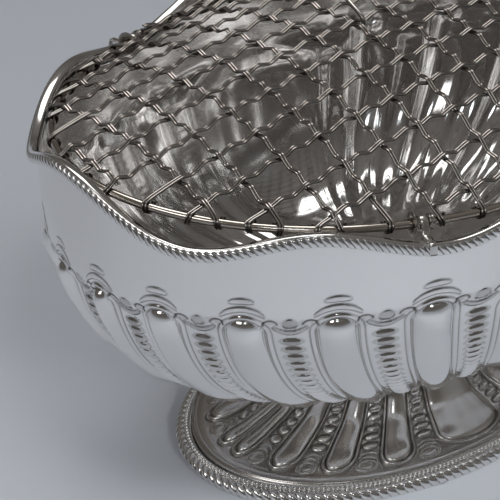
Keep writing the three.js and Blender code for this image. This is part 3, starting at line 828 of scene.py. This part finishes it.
def make_clip(spot, sign_x, sign_y):
    """A strap that loops round the ring and hooks over the rim, and a collar on either side."""
    beside = PAIR_WIDTH / 2 + COLLAR_WIDTH + 2 * GAP + CLIP_WIDTH / 2
    angle = math.acos(((CLIP_WIRE - 0.5) * CROSS_PITCH + 1.1 * beside) / RING_A)
    angle = math.atan2(sign_y * math.sin(angle), sign_x * math.cos(angle))
    centre, out = ring_frame(angle)
    along = ring_frame(angle + 0.01)[0] - ring_frame(angle - 0.01)[0]
    along /= np.linalg.norm(along)
    above = np.cross(out, along)
    foot = centre + out * RING_INSET
    rim_angle = math.atan2(foot[1] / RIM_B, foot[0] / RIM_A)
    half = CLIP_WIDTH / 2 / RIM_A
    crest = max(rim_height(rim_angle - half), rim_height(rim_angle + half)) - centre[2] + GAP
    crest += abs(along[2]) * CLIP_WIDTH / 2
    thick = STRAP_HALF_THICK
    reach = RING_INSET + RIM_OUT + 2 * GAP + thick
    loop = [((SLEEVE + thick) * math.cos(turn), (SLEEVE + thick) * math.sin(turn)) for turn in LOOP_TURNS]
    arm = [(RING_INSET - WALL - 2 * GAP - 0.6, crest + thick), (RING_INSET - WALL, crest + thick),
           (reach - 1.2, crest + thick), (reach, crest + thick), (reach + 0.25, crest - 0.8),
           (reach + 0.4, crest - CLIP_DROP + 0.5), (reach + 0.75, crest - CLIP_DROP + 0.15)]
    path = rounded(loop + arm, 2, False)
    ahead = np.gradient(path, axis=0)
    ahead /= np.linalg.norm(ahead, axis=1, keepdims=True)
    outline = rounded(SQUARE, 2, True)
    half_widths = STRAP_HALF_WIDTH - STRAP_NARROWING * smoothstep(np.linspace(-2, 1, len(path)))
    sections = []
    for (o, u), (do, du), wide in zip(path, ahead, half_widths):
        sections.append([centre + out * (o - du * n * thick) + above * (u + do * n * thick)
                         + along * (w * wide) for w, n in outline])
    clip = swept(f"clip_strap_{spot + 1}", np.array(sections), closed=False)
    dress(clip, CLIP_SILVER, f"clip_{spot + 1}", "silver", f"rim_clip_{spot + 1}")
    # The collar on the side away from the middle is flared, the other is a plain sleeve.
    turns = np.linspace(0, 2 * math.pi, COLLAR_SIDES, endpoint=False)
    for sign in (-1, 1):
        shift = sign * (CLIP_WIDTH / 2 + GAP + COLLAR_WIDTH / 2)
        low, high = SLEEVE, SLEEVE + COLLAR_THICKNESS
        w = COLLAR_WIDTH / 2
        if sign == -sign_x * sign_y:
            outline = [(low, -w), (high, -w), (high + 0.1, 0), (FLARE_RADIUS, 0.5),
                       (FLARE_RADIUS + 0.2, w - 0.1), (FLARE_RADIUS - 0.1, w), (low, w)]
        else:
            outline = [(low, -w), (high - 0.1, -w), (high, -0.5), (high - 0.25, 0), (high, 0.5),
                       (high - 0.1, w), (low, w)]
        outline = rounded([(r, sign * s) for r, s in outline], 2, True)
        grid = np.array([[centre + out * r * math.cos(a) + above * r * math.sin(a) + along * (shift + s)
                          for r, s in outline] for a in turns])
        number = 2 * spot + (1 if sign < 0 else 2)
        collar = swept(f"collar_{number}", grid)
        dress(collar, COLLAR_SILVER, "grille", "wire_silver", f"ring_collar_{number}")


def make_handle():
    """One bent wire: an open eye round the middle long wire at each foot, and an arch between them."""
    half = (HANDLE_WIRE - 0.5) * CROSS_PITCH - PAIR_WIDTH / 2 - HANDLE_RADIUS - 3 * GAP
    axis = net_height(half, 0.0)
    rise = np.array([0, math.cos(HANDLE_LEAN), math.sin(HANDLE_LEAN)])
    clear = np.array([0, -math.sin(HANDLE_LEAN), math.cos(HANDLE_LEAN)])

    def point(x, v, w):
        return np.array([x, 0, axis]) + rise * v + clear * w

    turns = np.radians(np.linspace(350, 112, 20))
    eye = [(HANDLE_EYE * math.cos(turn), HANDLE_EYE * math.sin(turn)) for turn in turns]
    arch = [point(-half * math.cos(turn), (HANDLE_RISE - 2) * math.sin(turn) ** 0.8 + 2, HANDLE_EYE)
            for turn in np.linspace(0, math.pi, 44)]
    path = [point(-half, v, w) for v, w in eye] + arch + [point(half, v, w) for v, w in eye[::-1]]
    handle = tubes("handle_wire", [rounded(path, 1, False)], HANDLE_RADIUS, 12)
    dress(handle, HANDLE_SILVER, "handle", "silver", "bail_handle")


# Materials
CLOUD_SCALE = 40
CLOUD_SHADE = 0.93
RECESS_ROUGHNESS = 0.3
SCRATCH_SCALE = 900
SCRATCH_STRETCH = (1, 1, 6)
SCRATCH_DEPTH = 0.00008
WAVE_STRENGTH = 0.1
WAVE_DEPTH = 0.0006


def silver(name, colour, dark, roughness, grain, polish):
    """Polished silver: painted shade darkens its colour where the mark is high, and the mark also makes it
    duller, with faint hand-finished waviness and scratches.

    grain is how strong the scratches are, and polish how close together the waves."""
    material = bpy.data.materials.new(name)
    material.use_nodes = True
    nodes, links = material.node_tree.nodes, material.node_tree.links
    shader = nodes["Principled BSDF"]
    shader.inputs["Metallic"].default_value = 1

    def noise(vector, scale, detail=None):
        node = nodes.new("ShaderNodeTexNoise")
        node.inputs["Scale"].default_value = scale
        if detail is not None:
            node.inputs["Detail"].default_value = detail
        links.new(vector, node.inputs["Vector"])
        return node.outputs["Fac"]

    def bump(height, strength, distance):
        node = nodes.new("ShaderNodeBump")
        node.inputs["Strength"].default_value = strength
        node.inputs["Distance"].default_value = distance
        links.new(height, node.inputs["Height"])
        return node

    place = nodes.new("ShaderNodeTexCoord").outputs["Object"]
    mark = nodes.new("ShaderNodeAttribute")
    mark.attribute_name = "painted_shade_and_dullness"
    tint = nodes.new("ShaderNodeMix")
    tint.data_type = "RGBA"
    tint.inputs["A"].default_value = (*colour, 1)
    tint.inputs["B"].default_value = (*[CLOUD_SHADE * c for c in colour], 1)
    links.new(noise(place, CLOUD_SCALE, 4), tint.inputs["Factor"])
    # Painted shade: the mark mixes the colour towards the dark colour.
    painted_shade_mix = nodes.new("ShaderNodeMix")
    painted_shade_mix.data_type = "RGBA"
    links.new(mark.outputs["Fac"], painted_shade_mix.inputs["Factor"])
    links.new(tint.outputs["Result"], painted_shade_mix.inputs["A"])
    painted_shade_mix.inputs["B"].default_value = (*dark, 1)
    links.new(painted_shade_mix.outputs["Result"], shader.inputs["Base Color"])
    rough = nodes.new("ShaderNodeMapRange")
    rough.inputs["To Min"].default_value = roughness
    rough.inputs["To Max"].default_value = roughness + RECESS_ROUGHNESS
    links.new(mark.outputs["Fac"], rough.inputs["Value"])
    links.new(rough.outputs["Result"], shader.inputs["Roughness"])
    stretch = nodes.new("ShaderNodeMapping")
    stretch.inputs["Scale"].default_value = SCRATCH_STRETCH
    links.new(place, stretch.inputs["Vector"])
    fine = bump(noise(stretch.outputs["Vector"], SCRATCH_SCALE, 3), grain, SCRATCH_DEPTH)
    broad = bump(noise(place, polish), WAVE_STRENGTH, WAVE_DEPTH)
    links.new(fine.outputs["Normal"], broad.inputs["Normal"])
    links.new(broad.outputs["Normal"], shader.inputs["Normal"])
    return material


# The third value of each is the colour of its painted shade.
BODY_SILVER = silver("body_silver", (0.93, 0.92, 0.91), (0.12, 0.11, 0.1), 0.07, 0.05, 22)
FOOT_SILVER = silver("foot_silver", (0.76, 0.73, 0.7), (0.09, 0.08, 0.07), 0.19, 0.04, 22)
BORDER_SILVER = silver("border_silver", (0.9, 0.89, 0.875), (0.07, 0.062, 0.055), 0.12, 0.1, 60)
WIRE_SILVER = silver("wire_silver", (0.72, 0.68, 0.64), (0.06, 0.05, 0.045), 0.09, 0.06, 90)
RING_SILVER = silver("ring_silver", (0.66, 0.61, 0.55), (0.12, 0.1, 0.09), 0.11, 0.1, 60)
CLIP_SILVER = silver("clip_silver", (0.8, 0.78, 0.75), (0.2, 0.18, 0.16), 0.15, 0.3, 120)
COLLAR_SILVER = silver("collar_silver", (0.4, 0.37, 0.34), (0.12, 0.11, 0.1), 0.26, 0.4, 200)
HANDLE_SILVER = silver("handle_silver", (0.7, 0.68, 0.65), (0.2, 0.18, 0.16), 0.13, 0.3, 80)


def dress(piece, material, body, slot, *nodes):
    """Gives a piece its material and body, and says which solids' places it takes. slot is not used."""
    piece.data.materials.clear()
    piece.data.materials.append(material)
    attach(piece, body)
    if nodes:
        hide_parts(*nodes)


# Bowl, foot and their borders
dress(make_bowl(), BODY_SILVER, "jardiniere", "silver", "bowl_body")
dress(make_foot(), FOOT_SILVER, "jardiniere", "silver", "foot_dome")
rim = gadroon_border("rim_gadroon", RIM_A, RIM_B, rim_height, RIM_SECTION, RIM_RIBS,
                     depth=0.8, slant=1.1, face=(-0.8, -5.2), groove=(0.24, 0.1), crowned=0.25)
dress(rim, BORDER_SILVER, "jardiniere", "silver", "rim_border")
foot_edge = gadroon_border("foot_gadroon", FOOT_A, FOOT_B, np.zeros_like, FOOT_SECTION, FOOT_RIBS,
                           depth=1.2, slant=0.85, face=(5.5, 1.0), groove=(0.15, 0.14), crowned=0.35)
dress(foot_edge, BORDER_SILVER, "jardiniere", "silver", "foot_border")
dress(bead_row("foot_beads"), BORDER_SILVER, "jardiniere", "silver")

# Grille: ring, woven pairs, clips, collars and handle
RING_STEPS = 360
RING_SIDES = 14
turn = np.linspace(0, 2 * math.pi, RING_STEPS, endpoint=False)
ring_line = oval(RING_A, RING_B, turn, ring_height(turn))
ring_out = oval_out(RING_A, RING_B, turn)
around = np.linspace(0, 2 * math.pi, RING_SIDES, endpoint=False)
ring_grid = (ring_line[:, None] + RING_WIRE * np.cos(around)[None, :, None] * ring_out[:, None]
             + RING_WIRE * np.sin(around)[None, :, None] * UP)
# Painted shade, darker towards the ring's underside.
ring_painted_shade = np.repeat(0.75 * smoothstep((0.5 - np.sin(around)) / 0.9)[None], len(turn), axis=0)
dress(swept("ring", ring_grid, ring_painted_shade), RING_SILVER, "grille", "silver", "grille_ring")

cross_places = [(k - (CROSS_WIRES - 1) / 2) * CROSS_PITCH for k in range(CROSS_WIRES)]
long_places = [(k - (LONG_WIRES - 1) / 2) * LONG_PITCH for k in range(LONG_WIRES)]
for k, place in enumerate(cross_places):
    woven_wire(f"cross_wire_{k + 1}", False, place, k, long_places, k)
for k, place in enumerate(long_places):
    woven_wire(f"long_wire_{k + 1}", True, place, k, cross_places, k + 1)
for spot, (sign_x, sign_y) in enumerate([(-1, -1), (1, -1), (1, 1), (-1, 1)]):
    make_clip(spot, sign_x, sign_y)
make_handle()

# Camera, fitted to the photograph: its target and distance are real sizes
PIXELS = 500
FOCAL_PIXELS = 2388
CENTRE_PIXEL = (249.1, 240.5)
SENSOR = 36
AZIMUTH = math.radians(-37.87)
ELEVATION = math.radians(32.48)
TARGET = Vector((-21.8, 70.7, 48.0)) * MM
DISTANCE = 1.0432
back = Vector((math.sin(AZIMUTH) * math.cos(ELEVATION), -math.cos(AZIMUTH) * math.cos(ELEVATION),
               math.sin(ELEVATION)))
camera = bpy.data.objects.new("camera", bpy.data.cameras.new("camera"))
bpy.context.scene.collection.objects.link(camera)
camera.location = TARGET + back * DISTANCE
camera.rotation_euler = (-back).to_track_quat("-Z", "Y").to_euler()
camera.data.sensor_width = SENSOR
camera.data.lens = FOCAL_PIXELS * SENSOR / PIXELS
camera.data.shift_x = (PIXELS / 2 - CENTRE_PIXEL[0]) / PIXELS
camera.data.shift_y = (CENTRE_PIXEL[1] - PIXELS / 2) / PIXELS
camera.data.clip_start = 0.01
bpy.context.scene.camera = camera

# Floor
FLOOR_HALF = 6
FLOOR_CORNERS = [(x * FLOOR_HALF, y * FLOOR_HALF, 0) for x, y in SQUARE]
floor_mesh = bpy.data.meshes.new("floor")
floor_mesh.from_pydata(FLOOR_CORNERS, [], [(0, 1, 2, 3)])
floor = bpy.data.objects.new("floor", floor_mesh)
bpy.context.scene.collection.objects.link(floor)
paper = bpy.data.materials.new("floor_paper")
paper.use_nodes = True
paper_inputs = paper.node_tree.nodes["Principled BSDF"].inputs
paper_inputs["Base Color"].default_value = (0.55, 0.585, 0.645, 1)
paper_inputs["Roughness"].default_value = 0.9
paper_inputs["Specular IOR Level"].default_value = 0.1
floor_mesh.materials.append(paper)

# Lights
WHITE, WARM, COOL = (1, 1, 1), (1, 0.98, 0.95), (0.9, 0.96, 1)
BOWL_MIDDLE = (0, 0, 0.1)
RIGHT_FRONT = (1.4, -1.5, 1.1)


def softbox(name, where, size, power, mirrored, towards=BOWL_MIDDLE, colour=WHITE, spread=180):
    """An area light; one that isn't mirrored lights the scene but leaves no reflection in the silver."""
    light = bpy.data.lights.new(name, "AREA")
    light.shape = "RECTANGLE"
    light.size, light.size_y = size
    light.energy = power
    light.color = colour
    light.spread = math.radians(spread)
    obj = bpy.data.objects.new(name, light)
    bpy.context.scene.collection.objects.link(obj)
    obj.location = where
    obj.visible_glossy = mirrored
    obj.rotation_euler = (Vector(towards) - Vector(where)).to_track_quat("-Z", "Y").to_euler()


softbox("key_left", (-1.6, -0.6, 1.5), (1.0, 0.7), 6, True)
softbox("fill_right", RIGHT_FRONT, (1.3, 1.0), 3.4, False)
softbox("top", (0.3, 0.7, 1.9), (0.6, 0.4), 3, False)
softbox("near_front", (-0.15, -1.0, 0.5), (0.3, 0.2), 0.11, False, (0, -0.1, 0), WARM, 22)
softbox("wide_front", (-0.25, -0.45, 0.9), (0.3, 0.2), 0.32, False, (-0.1, -0.1, 0), WARM, 60)
softbox("lamp_right", RIGHT_FRONT, (0.8, 0.6), 4, True, colour=COOL)
softbox("lamp_top", (0.3, 0.6, 1.9), (1.3, 0.9), 9.5, True)
softbox("window", (-0.9, -1.9, 1.9), (0.5, 0.3), 3, True, colour=COOL)

# Room light that the silver mirrors: place from straight down to straight up, and colour
ROOM_STOPS = [(0.0, (0.21, 0.205, 0.2)), (0.14, (0.13, 0.122, 0.114)), (0.35, (0.11, 0.101, 0.093)),
              (0.6, (0.16, 0.148, 0.138)), (1.0, (0.24, 0.225, 0.21))]
ROOM_STRENGTH = 0.75
world = bpy.data.worlds.new("studio")
bpy.context.scene.world = world
world.use_nodes = True
tree = world.node_tree
direction = tree.nodes.new("ShaderNodeTexCoord")
split = tree.nodes.new("ShaderNodeSeparateXYZ")
ramp = tree.nodes.new("ShaderNodeValToRGB")
tree.links.new(direction.outputs["Generated"], split.inputs["Vector"])
tree.links.new(split.outputs["Z"], ramp.inputs["Fac"])
tree.links.new(ramp.outputs["Color"], tree.nodes["Background"].inputs["Color"])
steps = ramp.color_ramp.elements
steps[0].position, steps[1].position = ROOM_STOPS[0][0], ROOM_STOPS[-1][0]
for position, _ in ROOM_STOPS[1:-1]:
    steps.new(position)
for step, (_, colour) in zip(steps, ROOM_STOPS):
    step.color = (*colour, 1)
tree.nodes["Background"].inputs["Strength"].default_value = ROOM_STRENGTH

bpy.context.scene.view_settings.view_transform = "Standard"
